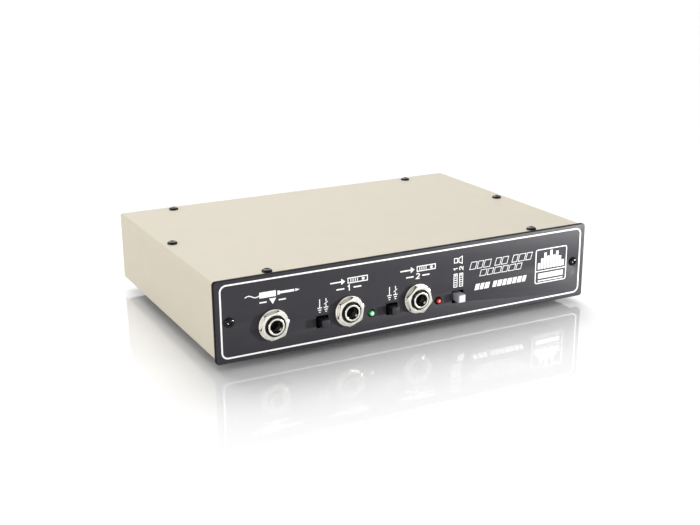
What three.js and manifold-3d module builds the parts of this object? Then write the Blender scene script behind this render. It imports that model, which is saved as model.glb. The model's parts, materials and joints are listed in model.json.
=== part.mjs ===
// A half-rack-width selector and direct injection box: a cream sheet-steel cover over a black tray,
// with a dark front panel that carries three 6.35 mm jacks, three push buttons and two indicator lights.
// Units are millimetres, +X to the right seen from the front, +Y to the back, +Z up.
// The origin is on the table, under the middle of the whole object.

import * as THREE from 'three';
import { mergeVertices } from 'three/addons/utils/BufferGeometryUtils.js';
import Module from 'manifold-3d';

const wasm = await Module();
wasm.setup();

// ---------------------------------------------------------------- driving dimensions

const panelWidth = 220;
const panelHeight = 42;
const panelThickness = 2.5;
const panelAboveTable = 3.8;
const panelCornerRadius = 2;
const panelEdgeBevel = 0.3;

const boxDepth = 150;
const sheet = 1.2;
const coverBelowPanelTop = 0.7;
const coverAbovePanelBottom = 2.8;
const coverBendRadius = 2;

// Clearance between parts that are fitted together, and under parts that are seated on one another.
const fitGap = 0.3;
const seatGap = 0.1;

const jackBore = 6.5;
const jackBushDiameter = 11.4;
const jackProud = 4.1;
const frontBushProud = 1.9;
const plugRoom = 31.4;
const ferruleDiameter = 8.7;
const ferruleLength = 5;
const nutAcrossFlats = 13.5;
const nutThickness = 2.2;
const plasticNutThickness = 3;
const threadGap = 0.25;
const washerDiameter = 16;
const washerThickness = 0.6;
const jackBodySize = 15.5;
const jackBodyFloor = 1;

const buttonProud = 4.5;
const buttonTravel = 2.2;
const capSize = 4.3;
const capBevel = 0.35;
const capLength = 8;
const stemSize = 3.3;
const switchWidth = 8.4;
const switchHeight = 8;
const switchDepth = 14;
const stemReach = 4.2;

const ledDiameter = 3;
const ledHoleDiameter = 4.2;
const ledProud = 1.6;
const ledFlange = 0.4;
const ledLegPitch = 2.54;
const ledLegSize = 0.5;

const screwThread = 3;
const screwHoleDiameter = 3.6;
const tappedCollarDiameter = 5.2;
const coverScrew = { head: 5.4, height: 1.6, length: 6, socket: 2 };
const panelScrew = { head: 5, height: 1.4, length: 9, socket: 2 };
const footScrew = { head: 5.6, height: 1.9, length: 8, socket: 2 };

const boardThickness = 1.6;
const boardAboveFloor = 5;
const supportNeck = 1.8;
const supportCollar = 3.2;

const footDiameter = 13;
const footTaper = 1;
const footTreadRound = 0.8;
const footRecessDepth = 2.8;
const footRecessRadius = 3.6;

const roundSides = 20;
const boreSides = 16;
const smallSides = 10;
const hexagonSides = 6;

// ---------------------------------------------------------------- places worked out from them

const overallDepth = buttonProud + boxDepth + jackProud;
const panelFront = -overallDepth / 2 + buttonProud;
const panelBack = panelFront + panelThickness;
const coverRear = panelFront + boxDepth;
const panelBottom = panelAboveTable;
const panelTop = panelBottom + panelHeight;
const coverTop = panelTop - coverBelowPanelTop;
const coverBottom = panelBottom + coverAbovePanelBottom;
const coverHalfWidth = panelWidth / 2;

const footHeight = coverBottom - fitGap;

const trayHalfWidth = coverHalfWidth - sheet - fitGap;
const trayFront = panelBack + fitGap;
const trayRear = coverRear;
const trayTop = coverTop - sheet - fitGap;
const trayFloor = coverBottom + sheet;
const trayLip = 10;

const frontStack = panelThickness + fitGap + sheet;
const rearStack = sheet;

const boardUnderside = trayFloor + boardAboveFloor;
const boardTop = boardUnderside + boardThickness;
const frontBoardFront = panelFront - jackProud + plugRoom + jackBodyFloor + fitGap;

const frontJackHeight = 15.9;
const buttonHeight = 12.85;
const ledHeight = 12.5;
const rearJackHeight = boardTop + fitGap + jackBodySize / 2;

// Each front jack, with the turn at which its nut was left, in degrees.
const frontJacks = [
  { name: 'input_jack', x: -79.8, nutTurn: -18 },
  { name: 'amp_1_jack', x: -38.1, nutTurn: -9 },
  { name: 'amp_2_jack', x: 2.1, nutTurn: 15 },
];

const rearJacks = [
  { name: 'amp_1_speaker_jack', x: -75, nutTurn: 6 },
  { name: 'amp_2_speaker_jack', x: -40, nutTurn: -12 },
  { name: 'cabinet_jack', x: -5, nutTurn: 20 },
];

const pushButtons = [
  { name: 'ground_lift_1', x: -53.2, hole: [6.6, 6.2], finish: 'blackCap' },
  { name: 'ground_lift_2', x: -13.4, hole: [6.6, 6.2], finish: 'blackCap' },
  { name: 'selector', x: 26.8, hole: [7, 6.6], finish: 'whiteCap' },
];

const leds = [
  { name: 'channel_1_led', x: -25.3, finish: 'greenLed' },
  { name: 'channel_2_led', x: 14.6, finish: 'redLed' },
];

const dcInlet = { x: 30, noseDiameter: 7.8, flangeDiameter: 12, bore: 5.5, pin: 2.1, length: 12, nut: 10 };
const dcInletFlange = 1;
const dcInletFloor = 2.5;
const dcInletPinTip = 0.8;
const dcInletNutTurn = 15;

const panelScrewX = 102.7;
const panelScrewZ = panelBottom + panelHeight / 2;

const coverScrewMiddleX = -0.8;
const coverScrewX = 78.8;
const coverScrewSideX = 103.3;
const coverScrewFrontY = panelFront + 6.5;
const coverScrewRearY = coverRear - 6.3;
const coverScrewSideY = (coverScrewFrontY + coverScrewRearY) / 2;
const coverScrews = [
  { name: 'cover_screw_front_left', x: coverScrewMiddleX - coverScrewX, y: coverScrewFrontY },
  { name: 'cover_screw_front_right', x: coverScrewMiddleX + coverScrewX, y: coverScrewFrontY },
  { name: 'cover_screw_rear_left', x: coverScrewMiddleX - coverScrewX, y: coverScrewRearY },
  { name: 'cover_screw_rear_right', x: coverScrewMiddleX + coverScrewX, y: coverScrewRearY },
  { name: 'cover_screw_side_left', x: coverScrewMiddleX - coverScrewSideX, y: coverScrewSideY },
  { name: 'cover_screw_side_right', x: coverScrewMiddleX + coverScrewSideX, y: coverScrewSideY },
];

const footInset = 15;
const footX = 95;
const corners = [
  { name: 'front_left', x: -1, y: panelFront + footInset },
  { name: 'front_right', x: 1, y: panelFront + footInset },
  { name: 'rear_left', x: -1, y: coverRear - footInset },
  { name: 'rear_right', x: 1, y: coverRear - footInset },
];

const mainBoard = { left: -100, right: 42, front: frontBoardFront + 8, rear: trayRear - sheet - 1 };
const frontBoard = { left: -92, right: 36, bottom: 11, top: 38 };
const supportHoleRadius = 2.2;
const supportInset = 6;
const supportBeforeRearJacks = plugRoom + 3;
const boardSupports = [
  { x: mainBoard.left + supportInset, y: mainBoard.front + supportInset },
  { x: mainBoard.right - supportInset, y: mainBoard.front + supportInset },
  { x: mainBoard.left + supportInset, y: trayRear - supportBeforeRearJacks },
  { x: mainBoard.right - supportInset, y: trayRear - supportBeforeRearJacks },
];

// ---------------------------------------------------------------- finishes

const finishes = {
  panel: { color: 0x47464a, roughness: 0.45, metalness: 0.2 },
  cream: { color: 0xe5ddcb, roughness: 0.5, metalness: 0 },
  tray: { color: 0x1d1d1f, roughness: 0.55, metalness: 0.2 },
  blackScrew: { color: 0x161616, roughness: 0.35, metalness: 0.8 },
  nickel: { color: 0xd8d6d0, roughness: 0.2, metalness: 1 },
  blackPlastic: { color: 0x141414, roughness: 0.5, metalness: 0 },
  blackCap: { color: 0x1b1b1d, roughness: 0.3, metalness: 0 },
  whiteCap: { color: 0xdcdce4, roughness: 0.3, metalness: 0 },
  greenLed: { color: 0x5fc878, roughness: 0.15, metalness: 0 },
  redLed: { color: 0xd22a2a, roughness: 0.15, metalness: 0 },
  rubber: { color: 0x121212, roughness: 0.9, metalness: 0 },
  circuitBoard: { color: 0x1f5a36, roughness: 0.4, metalness: 0 },
  nylon: { color: 0xe8e6dc, roughness: 0.6, metalness: 0 },
  coreSteel: { color: 0x6d6f73, roughness: 0.4, metalness: 0.9 },
  relayCase: { color: 0x20324f, roughness: 0.35, metalness: 0 },
  goldAnodised: { color: 0xb08d3c, roughness: 0.35, metalness: 0.9 },
  ribbon: { color: 0x9a9ca0, roughness: 0.6, metalness: 0 },
};

// ---------------------------------------------------------------- solids from three.js shapes

const weldDistance = 1e-4;
const past = 1;

// A closed solid, ready to join and cut, from the positions of any three.js geometry.
function solidFrom(geometry) {
  geometry.deleteAttribute('normal');
  geometry.deleteAttribute('uv');
  const welded = mergeVertices(geometry, weldDistance);
  const index = welded.getIndex().array;
  const triangles = [];
  for (let i = 0; i < index.length; i += 3) {
    const [a, b, c] = [index[i], index[i + 1], index[i + 2]];
    if (a !== b && b !== c && c !== a) triangles.push(a, b, c);
  }
  const mesh = new wasm.Mesh({
    numProp: 3,
    vertProperties: welded.getAttribute('position').array,
    triVerts: new Uint32Array(triangles),
  });
  return new wasm.Manifold(mesh);
}

function geometryFrom(solid) {
  const mesh = solid.getMesh();
  const geometry = new THREE.BufferGeometry();
  geometry.setAttribute('position', new THREE.BufferAttribute(mesh.vertProperties, mesh.numProp));
  geometry.setIndex(new THREE.BufferAttribute(mesh.triVerts, 1));
  geometry.computeVertexNormals();
  return geometry;
}

function joined(...solids) {
  return solids.reduce((all, one) => all.add(one));
}

function cut(solid, ...tools) {
  return tools.reduce((rest, tool) => rest.subtract(tool), solid);
}

// A box given by its lowest and highest X, Y and Z.
function slab([x0, x1], [y0, y1], [z0, z1]) {
  const box = new THREE.BoxGeometry(x1 - x0, y1 - y0, z1 - z0);
  return solidFrom(box.translate((x0 + x1) / 2, (y0 + y1) / 2, (z0 + z1) / 2));
}

// A solid turned about the Y axis, from a profile of [radius, y] points that starts and ends on the axis.
function turnedAlongY(profile, sides) {
  return solidFrom(latheOf(profile, sides));
}

// The same about the Z axis, from [radius, z] points.
function turnedAlongZ(profile, sides) {
  return solidFrom(latheOf(profile, sides).rotateX(Math.PI / 2));
}

function latheOf(profile, sides) {
  const points = profile.map(([radius, along]) => new THREE.Vector2(radius, along));
  return new THREE.LatheGeometry(points, sides);
}

function rodAlongY(radius, [y0, y1], sides, x = 0, z = 0) {
  const rod = new THREE.CylinderGeometry(radius, radius, y1 - y0, sides);
  return solidFrom(rod.translate(x, (y0 + y1) / 2, z));
}

function rodAlongZ(radius, [z0, z1], sides, x = 0, y = 0) {
  const rod = new THREE.CylinderGeometry(radius, radius, z1 - z0, sides).rotateX(Math.PI / 2);
  return solidFrom(rod.translate(x, y, (z0 + z1) / 2));
}

// A shape drawn in X and Z, given its thickness along Y, from y0 back to y1, with bevelled edges.
function plateAcrossY(shape, [y0, y1], bevel, curveSegments) {
  const extruded = new THREE.ExtrudeGeometry(shape, {
    depth: y1 - y0 - 2 * bevel,
    bevelEnabled: bevel > 0,
    bevelThickness: bevel,
    bevelSize: bevel,
    bevelOffset: -bevel,
    bevelSegments: 1,
    curveSegments,
  });
  return solidFrom(extruded.rotateX(Math.PI / 2).translate(0, y1 - bevel, 0));
}

function roundedRectangle(width, height, radius) {
  const [w, h] = [width / 2, height / 2];
  const shape = new THREE.Shape();
  shape.absarc(w - radius, h - radius, radius, 0, Math.PI / 2);
  shape.absarc(radius - w, h - radius, radius, Math.PI / 2, Math.PI);
  shape.absarc(radius - w, radius - h, radius, Math.PI, 1.5 * Math.PI);
  shape.absarc(w - radius, radius - h, radius, 1.5 * Math.PI, 2 * Math.PI);
  return shape;
}

// ---------------------------------------------------------------- the scene graph

const group = new THREE.Group();

function addMesh(name, finish, solid, parent = group) {
  const mesh = new THREE.Mesh(geometryFrom(solid), new THREE.MeshStandardMaterial(finishes[finish]));
  mesh.name = name;
  parent.add(mesh);
  return mesh;
}

function addPlace(x, y, z) {
  const place = new THREE.Group();
  place.position.set(x, y, z);
  group.add(place);
  return place;
}

// ---------------------------------------------------------------- casing

// The tools that cut every front opening, through the panel and the tray wall behind it.
function frontOpenings() {
  const through = [panelFront - past, trayFront + sheet + past];
  const jackHoleRadius = jackBushDiameter / 2 + fitGap;
  const jackZ = panelBottom + frontJackHeight;
  const buttonZ = panelBottom + buttonHeight;
  const ledZ = panelBottom + ledHeight;
  return [
    ...frontJacks.map(({ x }) => rodAlongY(jackHoleRadius, through, roundSides, x, jackZ)),
    ...leds.map(({ x }) => rodAlongY(ledHoleDiameter / 2, through, boreSides, x, ledZ)),
    ...pushButtons.map(({ x, hole: [width, height] }) =>
      slab([x - width / 2, x + width / 2], through, [buttonZ - height / 2, buttonZ + height / 2])),
    ...[-panelScrewX, panelScrewX].map((x) =>
      rodAlongY(screwHoleDiameter / 2, through, smallSides, x, panelScrewZ)),
  ];
}

function frontPanel() {
  const outline = roundedRectangle(panelWidth, panelHeight, panelCornerRadius);
  const plate = plateAcrossY(outline, [panelFront, panelBack], panelEdgeBevel, 4);
  const centred = geometryFrom(plate).translate(0, 0, panelBottom + panelHeight / 2);
  return cut(solidFrom(centred), ...frontOpenings());
}

// One bent sheet: the top and both sides, open to the front, the back and below.
function topCover() {
  const [outer, bend] = [coverHalfWidth, coverBendRadius];
  const inner = outer - sheet;
  const innerBend = bend - sheet;
  const bendHeight = coverTop - bend;
  const profile = new THREE.Shape();
  profile.moveTo(outer, coverBottom);
  profile.absarc(outer - bend, bendHeight, bend, 0, Math.PI / 2);
  profile.absarc(bend - outer, bendHeight, bend, Math.PI / 2, Math.PI);
  profile.lineTo(-outer, coverBottom);
  profile.lineTo(-inner, coverBottom);
  profile.absarc(bend - outer, bendHeight, innerBend, Math.PI, Math.PI / 2, true);
  profile.absarc(outer - bend, bendHeight, innerBend, Math.PI / 2, 0, true);
  profile.lineTo(inner, coverBottom);
  const bent = plateAcrossY(profile, [trayFront, coverRear], 0, 6);
  const holes = coverScrews.map(({ x, y }) =>
    rodAlongZ(screwHoleDiameter / 2, [coverTop - sheet - past, coverTop + past], smallSides, x, y));
  return cut(bent, ...holes);
}

// A folded tray: floor, four walls and a lip round the top, with a tapped collar under each cover screw.
function chassisTray() {
  const innerHalfWidth = trayHalfWidth - sheet;
  const [innerFront, innerRear] = [trayFront + sheet, trayRear - sheet];
  const lipUnderside = trayTop - sheet;
  const collarLength = 2;
  const outside = slab([-trayHalfWidth, trayHalfWidth], [trayFront, trayRear], [coverBottom, trayTop]);
  const inside = slab([-innerHalfWidth, innerHalfWidth], [innerFront, innerRear], [trayFloor, lipUnderside]);
  const windowHalfWidth = innerHalfWidth - trayLip;
  const window = slab(
    [-windowHalfWidth, windowHalfWidth],
    [innerFront + trayLip, innerRear - trayLip],
    [lipUnderside - past, trayTop + past],
  );
  const collars = coverScrews.map(({ x, y }) =>
    rodAlongZ(tappedCollarDiameter / 2, [lipUnderside - collarLength, trayTop], smallSides, x, y));
  const throughCollar = [lipUnderside - collarLength - past, trayTop + past];
  const tapped = coverScrews.map(({ x, y }) =>
    rodAlongZ(screwHoleDiameter / 2, throughCollar, smallSides, x, y));
  const throughFloor = [coverBottom - past, trayFloor + past];
  const footHoles = corners.map(({ x, y }) =>
    rodAlongZ(screwHoleDiameter / 2, throughFloor, smallSides, x * footX, y));
  const supportHoles = boardSupports.map(({ x, y }) =>
    rodAlongZ(supportHoleRadius, throughFloor, smallSides, x, y));
  const throughRear = [trayRear - sheet - past, trayRear + past];
  const jackHoles = rearJacks.map(({ x }) =>
    rodAlongY(jackBushDiameter / 2 + fitGap, throughRear, roundSides, x, rearJackHeight));
  const inletRadius = dcInlet.noseDiameter / 2 + fitGap;
  const inletHole = rodAlongY(inletRadius, throughRear, boreSides, dcInlet.x, rearJackHeight);
  const folded = joined(cut(outside, inside, window), ...collars);
  return cut(folded, ...tapped, ...footHoles, ...supportHoles, ...jackHoles, inletHole, ...frontOpenings());
}

// ---------------------------------------------------------------- fasteners and feet

// A round-headed machine screw that points down, with its seat at z = 0 and a hexagon socket in its head.
function domedScrew({ head: headDiameter, height, length, socket }) {
  const [head, shank] = [headDiameter / 2, screwThread / 2];
  const rim = height * 0.3;
  const pointEase = 0.3;
  const profile = [
    [0, -length], [shank - pointEase, -length], [shank, pointEase - length],
    [shank, 0], [head, 0], [head, rim],
  ];
  const domeSteps = 3;
  for (let i = 1; i <= domeSteps; i += 1) {
    const angle = (i / domeSteps) * (Math.PI / 2);
    const radius = i === domeSteps ? 0 : head * Math.cos(angle);
    profile.push([radius, rim + (height - rim) * Math.sin(angle)]);
  }
  const socketDepth = height * 0.55;
  const key = rodAlongZ(socket / Math.sqrt(3), [height - socketDepth, height + past], hexagonSides);
  return cut(turnedAlongZ(profile, smallSides), key);
}

function addCoverScrews() {
  for (const { name, x, y } of coverScrews) {
    addMesh(name, 'blackScrew', domedScrew(coverScrew), addPlace(x, y, coverTop + seatGap));
  }
}

function addPanelScrews() {
  for (const [side, x] of [['left', -panelScrewX], ['right', panelScrewX]]) {
    const place = addPlace(x, panelFront - seatGap, panelScrewZ);
    const screw = addMesh(`panel_screw_${side}`, 'blackScrew', domedScrew(panelScrew), place);
    screw.rotation.x = Math.PI / 2;
  }
}

// A rubber foot, wider at the top, with a recess below for the head of its screw.
function rubberFoot() {
  const [top, tread] = [footDiameter / 2, footDiameter / 2 - footTaper];
  const hole = screwHoleDiameter / 2;
  const profile = [
    [hole, footRecessDepth], [footRecessRadius, footRecessDepth], [footRecessRadius, 0],
    [tread - footTreadRound, 0], [tread, footTreadRound],
    [top, footHeight], [hole, footHeight], [hole, footRecessDepth],
  ];
  return turnedAlongZ(profile, boreSides);
}

function addFeet() {
  for (const { name, x, y } of corners) {
    const place = addPlace(x * footX, y, 0);
    addMesh(`rubber_foot_${name}`, 'rubber', rubberFoot(), place);
    const screw = addMesh(`foot_screw_${name}`, 'blackScrew', domedScrew(footScrew), place);
    screw.rotation.x = Math.PI;
    screw.position.z = footRecessDepth - seatGap;
  }
}

// ---------------------------------------------------------------- jacks

// A jack's own frame: y = 0 is the outer face of the wall it is in, and -Y points out of the box.
// The bush of a jack with a bright sleeve ends lower than the sleeve does.
function jackBody(stack, hasFerrule) {
  const half = jackBodySize / 2;
  const bodyFront = stack + fitGap;
  const boreEnd = plugRoom - jackProud;
  const bodyRear = boreEnd + jackBodyFloor;
  const bush = jackBushDiameter / 2;
  const [noseEnd, noseRoot] = [hasFerrule ? -frontBushProud : -jackProud, bodyFront + past];
  const chamfer = 0.5;
  const profile = [
    [0, noseEnd], [bush - chamfer, noseEnd], [bush, noseEnd + chamfer], [bush, noseRoot], [0, noseRoot],
  ];
  const nose = turnedAlongY(profile, roundSides);
  const bore = rodAlongY(jackBore / 2, [-jackProud - past, boreEnd], boreSides);
  const block = slab([-half, half], [bodyFront, bodyRear], [-half, half]);
  const body = cut(joined(block, nose), bore);
  if (!hasFerrule) return body;
  const seatEnd = ferruleLength - jackProud + seatGap;
  const seat = rodAlongY(ferruleDiameter / 2 + seatGap, [-jackProud - past, seatEnd], roundSides);
  return cut(body, seat);
}

// The bright sleeve that lines the mouth of a jack, with both ends of its rim eased.
function ferrule() {
  const [inner, outer] = [jackBore / 2, ferruleDiameter / 2];
  const [mouth, end] = [-jackProud, ferruleLength - jackProud];
  const ease = 0.25;
  const profile = [
    [inner, mouth + ease], [inner + ease, mouth], [outer - ease, mouth], [outer, mouth + ease], [outer, end],
    [inner, end], [inner, mouth + ease],
  ];
  return turnedAlongY(profile, roundSides);
}

function washer() {
  const [inner, outer] = [jackBushDiameter / 2 + threadGap, washerDiameter / 2];
  const [front, back] = [-seatGap - washerThickness, -seatGap];
  const profile = [[inner, front], [outer, front], [outer, back], [inner, back], [inner, front]];
  return turnedAlongY(profile, roundSides);
}

// A hexagon nut whose corners are turned off to a cone on both faces.
function hexNut(acrossFlats, bore, [front, back]) {
  const prism = rodAlongY(acrossFlats / Math.sqrt(3), [front, back], hexagonSides);
  const flat = acrossFlats / 2;
  const corner = acrossFlats / Math.sqrt(3) + seatGap;
  const turnedOff = (corner - flat) * 0.55;
  const profile = [
    [0, front], [flat, front], [corner, front + turnedOff],
    [corner, back - turnedOff], [flat, back], [0, back],
  ];
  const cone = turnedAlongY(profile, roundSides);
  return cut(prism.intersect(cone), rodAlongY(bore / 2, [front - past, back + past], boreSides));
}

// Seen from outside, a positive turn is anticlockwise.
function addNut(name, finish, place, turn, ...sizes) {
  const nut = addMesh(name, finish, hexNut(...sizes), place);
  nut.rotation.y = -THREE.MathUtils.degToRad(turn);
}

function addFrontJacks() {
  const nutBack = -2 * seatGap - washerThickness;
  const bore = jackBushDiameter + 2 * threadGap;
  for (const { name, x, nutTurn } of frontJacks) {
    const place = addPlace(x, panelFront, panelBottom + frontJackHeight);
    addMesh(name, 'blackPlastic', jackBody(frontStack, true), place);
    addMesh(`${name}_ferrule`, 'nickel', ferrule(), place);
    addMesh(`${name}_washer`, 'nickel', washer(), place);
    addNut(`${name}_nut`, 'nickel', place, nutTurn, nutAcrossFlats, bore, [nutBack - nutThickness, nutBack]);
  }
}

function addRearJacks() {
  const bore = jackBushDiameter + 2 * fitGap;
  const nutSpan = [-seatGap - plasticNutThickness, -seatGap];
  for (const { name, x, nutTurn } of rearJacks) {
    const place = addPlace(x, trayRear, rearJackHeight);
    place.rotation.z = Math.PI;
    addMesh(name, 'blackPlastic', jackBody(rearStack, false), place);
    addNut(`${name}_nut`, 'blackPlastic', place, nutTurn, nutAcrossFlats, bore, nutSpan);
  }
}

// A 2.1 mm power inlet: a flanged threaded barrel with a centre pin, held by a nut inside the tray.
function addDcInlet() {
  const place = addPlace(dcInlet.x, trayRear, rearJackHeight);
  place.rotation.z = Math.PI;
  const [nose, flange] = [dcInlet.noseDiameter / 2, dcInlet.flangeDiameter / 2];
  const [bore, pin] = [dcInlet.bore / 2, dcInlet.pin / 2];
  const [flangeFront, boreEnd] = [-seatGap - dcInletFlange, dcInlet.length - dcInletFloor];
  const profile = [
    [0, dcInletPinTip], [pin, dcInletPinTip], [pin, boreEnd],
    [bore, boreEnd], [bore, flangeFront], [flange, flangeFront],
    [flange, -seatGap], [nose, -seatGap], [nose, dcInlet.length], [0, dcInlet.length],
  ];
  addMesh('dc_inlet', 'blackPlastic', turnedAlongY(profile, boreSides), place);
  const nutFront = rearStack + fitGap;
  const nutSpan = [nutFront, nutFront + 2];
  const nutBore = dcInlet.noseDiameter + 2 * threadGap;
  addNut('dc_inlet_nut', 'nickel', place, dcInletNutTurn, dcInlet.nut, nutBore, nutSpan);
}

// ---------------------------------------------------------------- push buttons and indicator lights

// A square cap on a stem that slides in the bore of its switch.
function addPushButtons() {
  const switchFront = plugRoom - jackProud + jackBodyFloor - switchDepth;
  const stemEnd = switchFront + stemReach;
  const capBack = capLength - buttonProud;
  const half = stemSize / 2;
  const slide = half + threadGap;
  const cornerRadius = capBevel + 0.15;
  for (const { name, x, finish } of pushButtons) {
    const place = addPlace(x, panelFront, panelBottom + buttonHeight);
    const block = slab(
      [-switchWidth / 2, switchWidth / 2],
      [switchFront, switchFront + switchDepth],
      [-switchHeight / 2, switchHeight / 2],
    );
    const bore = slab([-slide, slide], [switchFront - past, stemEnd + buttonTravel + past], [-slide, slide]);
    addMesh(`${name}_switch`, 'blackPlastic', cut(block, bore), place);
    const outline = roundedRectangle(capSize, capSize, cornerRadius);
    const head = plateAcrossY(outline, [-buttonProud, capBack], capBevel, 3);
    const stem = slab([-half, half], [capBack - past, stemEnd], [-half, half]);
    addMesh(`${name}_button`, finish, joined(head, stem), place);
  }
}

// A 3 mm light with a domed end, a flange behind the wall and two legs to the board.
function addLeds() {
  const radius = ledDiameter / 2;
  const flangeFront = frontStack + fitGap;
  const flangeBack = flangeFront + 1;
  const domeBase = radius - ledProud;
  const profile = [[0, -ledProud]];
  const domeSteps = 4;
  for (let i = 1; i <= domeSteps; i += 1) {
    const angle = (i / domeSteps) * (Math.PI / 2);
    profile.push([radius * Math.sin(angle), domeBase - radius * Math.cos(angle)]);
  }
  const flange = radius + ledFlange;
  profile.push([radius, flangeFront], [flange, flangeFront], [flange, flangeBack], [0, flangeBack]);
  const legSpan = [flangeBack - ledFlange, frontBoardFront - panelFront - fitGap];
  const leg = ledLegSize / 2;
  const legs = [-ledLegPitch / 2, ledLegPitch / 2].map((x) =>
    slab([x - leg, x + leg], legSpan, [-leg, leg]));
  for (const { name, x, finish } of leds) {
    const place = addPlace(x, panelFront, panelBottom + ledHeight);
    addMesh(name, finish, joined(turnedAlongY(profile, boreSides), ...legs), place);
  }
}

// ---------------------------------------------------------------- what is inside

function addBoards() {
  const upright = slab(
    [frontBoard.left, frontBoard.right],
    [frontBoardFront, frontBoardFront + boardThickness],
    [frontBoard.bottom, frontBoard.top],
  );
  addMesh('front_board', 'circuitBoard', upright);
  const { left, right, front, rear } = mainBoard;
  const blank = slab([left, right], [front, rear], [boardUnderside, boardTop]);
  const holes = boardSupports.map(({ x, y }) =>
    rodAlongZ(supportHoleRadius, [boardUnderside - past, boardTop + past], smallSides, x, y));
  addMesh('main_board', 'circuitBoard', cut(blank, ...holes));
}

// A nylon support that snaps into the floor below and into the board above.
function addBoardSupports() {
  const [tip, nub, below, above] = [1, 1.2, 0.4, 0.8];
  const [lowest, lowNub] = [coverBottom - below - nub, coverBottom - below];
  const [highNub, highest] = [boardTop + above, boardTop + above + nub];
  const [low, high] = [trayFloor + seatGap, boardUnderside - seatGap];
  const profile = [
    [0, lowest], [tip, lowest], [supportNeck, lowNub], [supportNeck, low], [supportCollar, low],
    [supportCollar, high], [supportNeck, high], [supportNeck, highNub], [tip, highest], [0, highest],
  ];
  boardSupports.forEach(({ x, y }, i) => {
    addMesh(`board_support_${i + 1}`, 'nylon', turnedAlongZ(profile, smallSides), addPlace(x, y, 0));
  });
}

// A laminated core with its winding standing out on both sides.
function addTransformers() {
  const core = { width: 25, depth: 12, height: 21 };
  const winding = { width: 16, depth: 20, height: 14 };
  const windingLow = (core.height - winding.height) / 2;
  const behindBoardFront = 26;
  [-70, -36].forEach((x, i) => {
    const laminations = slab(
      [-core.width / 2, core.width / 2],
      [-core.depth / 2, core.depth / 2],
      [0, core.height],
    );
    const coil = slab(
      [-winding.width / 2, winding.width / 2],
      [-winding.depth / 2, winding.depth / 2],
      [windingLow, windingLow + winding.height],
    );
    const place = addPlace(x, mainBoard.front + behindBoardFront, boardTop + fitGap);
    addMesh(`transformer_${i + 1}`, 'coreSteel', joined(laminations, coil), place);
  });
}

function addRelays() {
  const relay = { width: 15.5, depth: 10.4, height: 11.5, corner: 0.6, bevel: 0.5 };
  const behindBoardFront = 60;
  const outline = roundedRectangle(relay.width, relay.height, relay.corner);
  [-2, 22].forEach((x, i) => {
    const block = plateAcrossY(outline, [-relay.depth / 2, relay.depth / 2], relay.bevel, 2);
    const place = addPlace(x, mainBoard.front + behindBoardFront, boardTop + fitGap + relay.height / 2);
    addMesh(`relay_${i + 1}`, 'relayCase', block, place);
  });
}

// A metal-clad power resistor on the tray floor: a ribbed body on a flange.
function addLoadResistor() {
  const [length, flangeWidth, flangeHeight] = [50, 28, 2.5];
  const [bodyWidth, bodyHeight, ribs] = [16, 14, 4];
  const [grooveWidth, grooveDepth, placeX] = [1.4, 4, 74];
  const base = slab([-length / 2, length / 2], [-flangeWidth / 2, flangeWidth / 2], [0, flangeHeight]);
  const body = slab([-length / 2, length / 2], [-bodyWidth / 2, bodyWidth / 2], [0, bodyHeight]);
  const pitch = bodyWidth / ribs;
  const grooves = Array.from({ length: ribs - 1 }, (_, i) => {
    const y = (i + 1) * pitch - bodyWidth / 2;
    const across = [y - grooveWidth / 2, y + grooveWidth / 2];
    return slab([-length, length], across, [bodyHeight - grooveDepth, bodyHeight + past]);
  });
  const resistor = cut(joined(base, body), ...grooves);
  addMesh('load_resistor', 'goldAnodised', resistor, addPlace(placeX, 0, trayFloor + fitGap));
}

// A flat cable from the front board, over a half loop and down on to the main board.
function addRibbonCable() {
  const [start, end] = [frontBoardFront + boardThickness + fitGap, mainBoard.front + 8];
  const [foot, thickness, width, x] = [boardTop + fitGap, 0.9, 16, 10];
  const loop = (end - start) / 2;
  const [archHeight, hang] = [12, 3];
  const arch = foot + archHeight;
  const strip = new THREE.Shape();
  strip.moveTo(start, arch);
  strip.absarc(start + loop, arch, loop, Math.PI, 0, true);
  strip.lineTo(end, foot);
  strip.lineTo(end - thickness, foot);
  strip.absarc(start + loop, arch, loop - thickness, 0, Math.PI, false);
  strip.lineTo(start + thickness, arch - hang);
  strip.lineTo(start, arch - hang);
  const extruded = new THREE.ExtrudeGeometry(strip, { depth: width, bevelEnabled: false, curveSegments: 10 });
  const cable = solidFrom(extruded.rotateZ(Math.PI / 2).rotateY(Math.PI / 2));
  addMesh('ribbon_cable', 'ribbon', cable, addPlace(x - width / 2, 0, 0));
}

// ---------------------------------------------------------------- assembly

addMesh('front_panel', 'panel', frontPanel());
addMesh('top_cover', 'cream', topCover());
addMesh('chassis_tray', 'tray', chassisTray());
addCoverScrews();
addPanelScrews();
addFeet();
addFrontJacks();
addPushButtons();
addLeds();
addRearJacks();
addDcInlet();
addBoards();
addBoardSupports();
addTransformers();
addRelays();
addLoadResistor();
addRibbonCable();

export default group;
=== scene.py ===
"""The looks of a half-rack direct injection and selector box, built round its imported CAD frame.

Lengths in the shape functions are millimetres, and `MM` turns them into scene units.
Small parts are made in a local frame whose +Z points out of the wall they sit on, with +Y up the wall.
"""

import json
import math

import bmesh
import bpy
from mathutils import Matrix, Vector
from mathutils.geometry import tessellate_polygon


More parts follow.
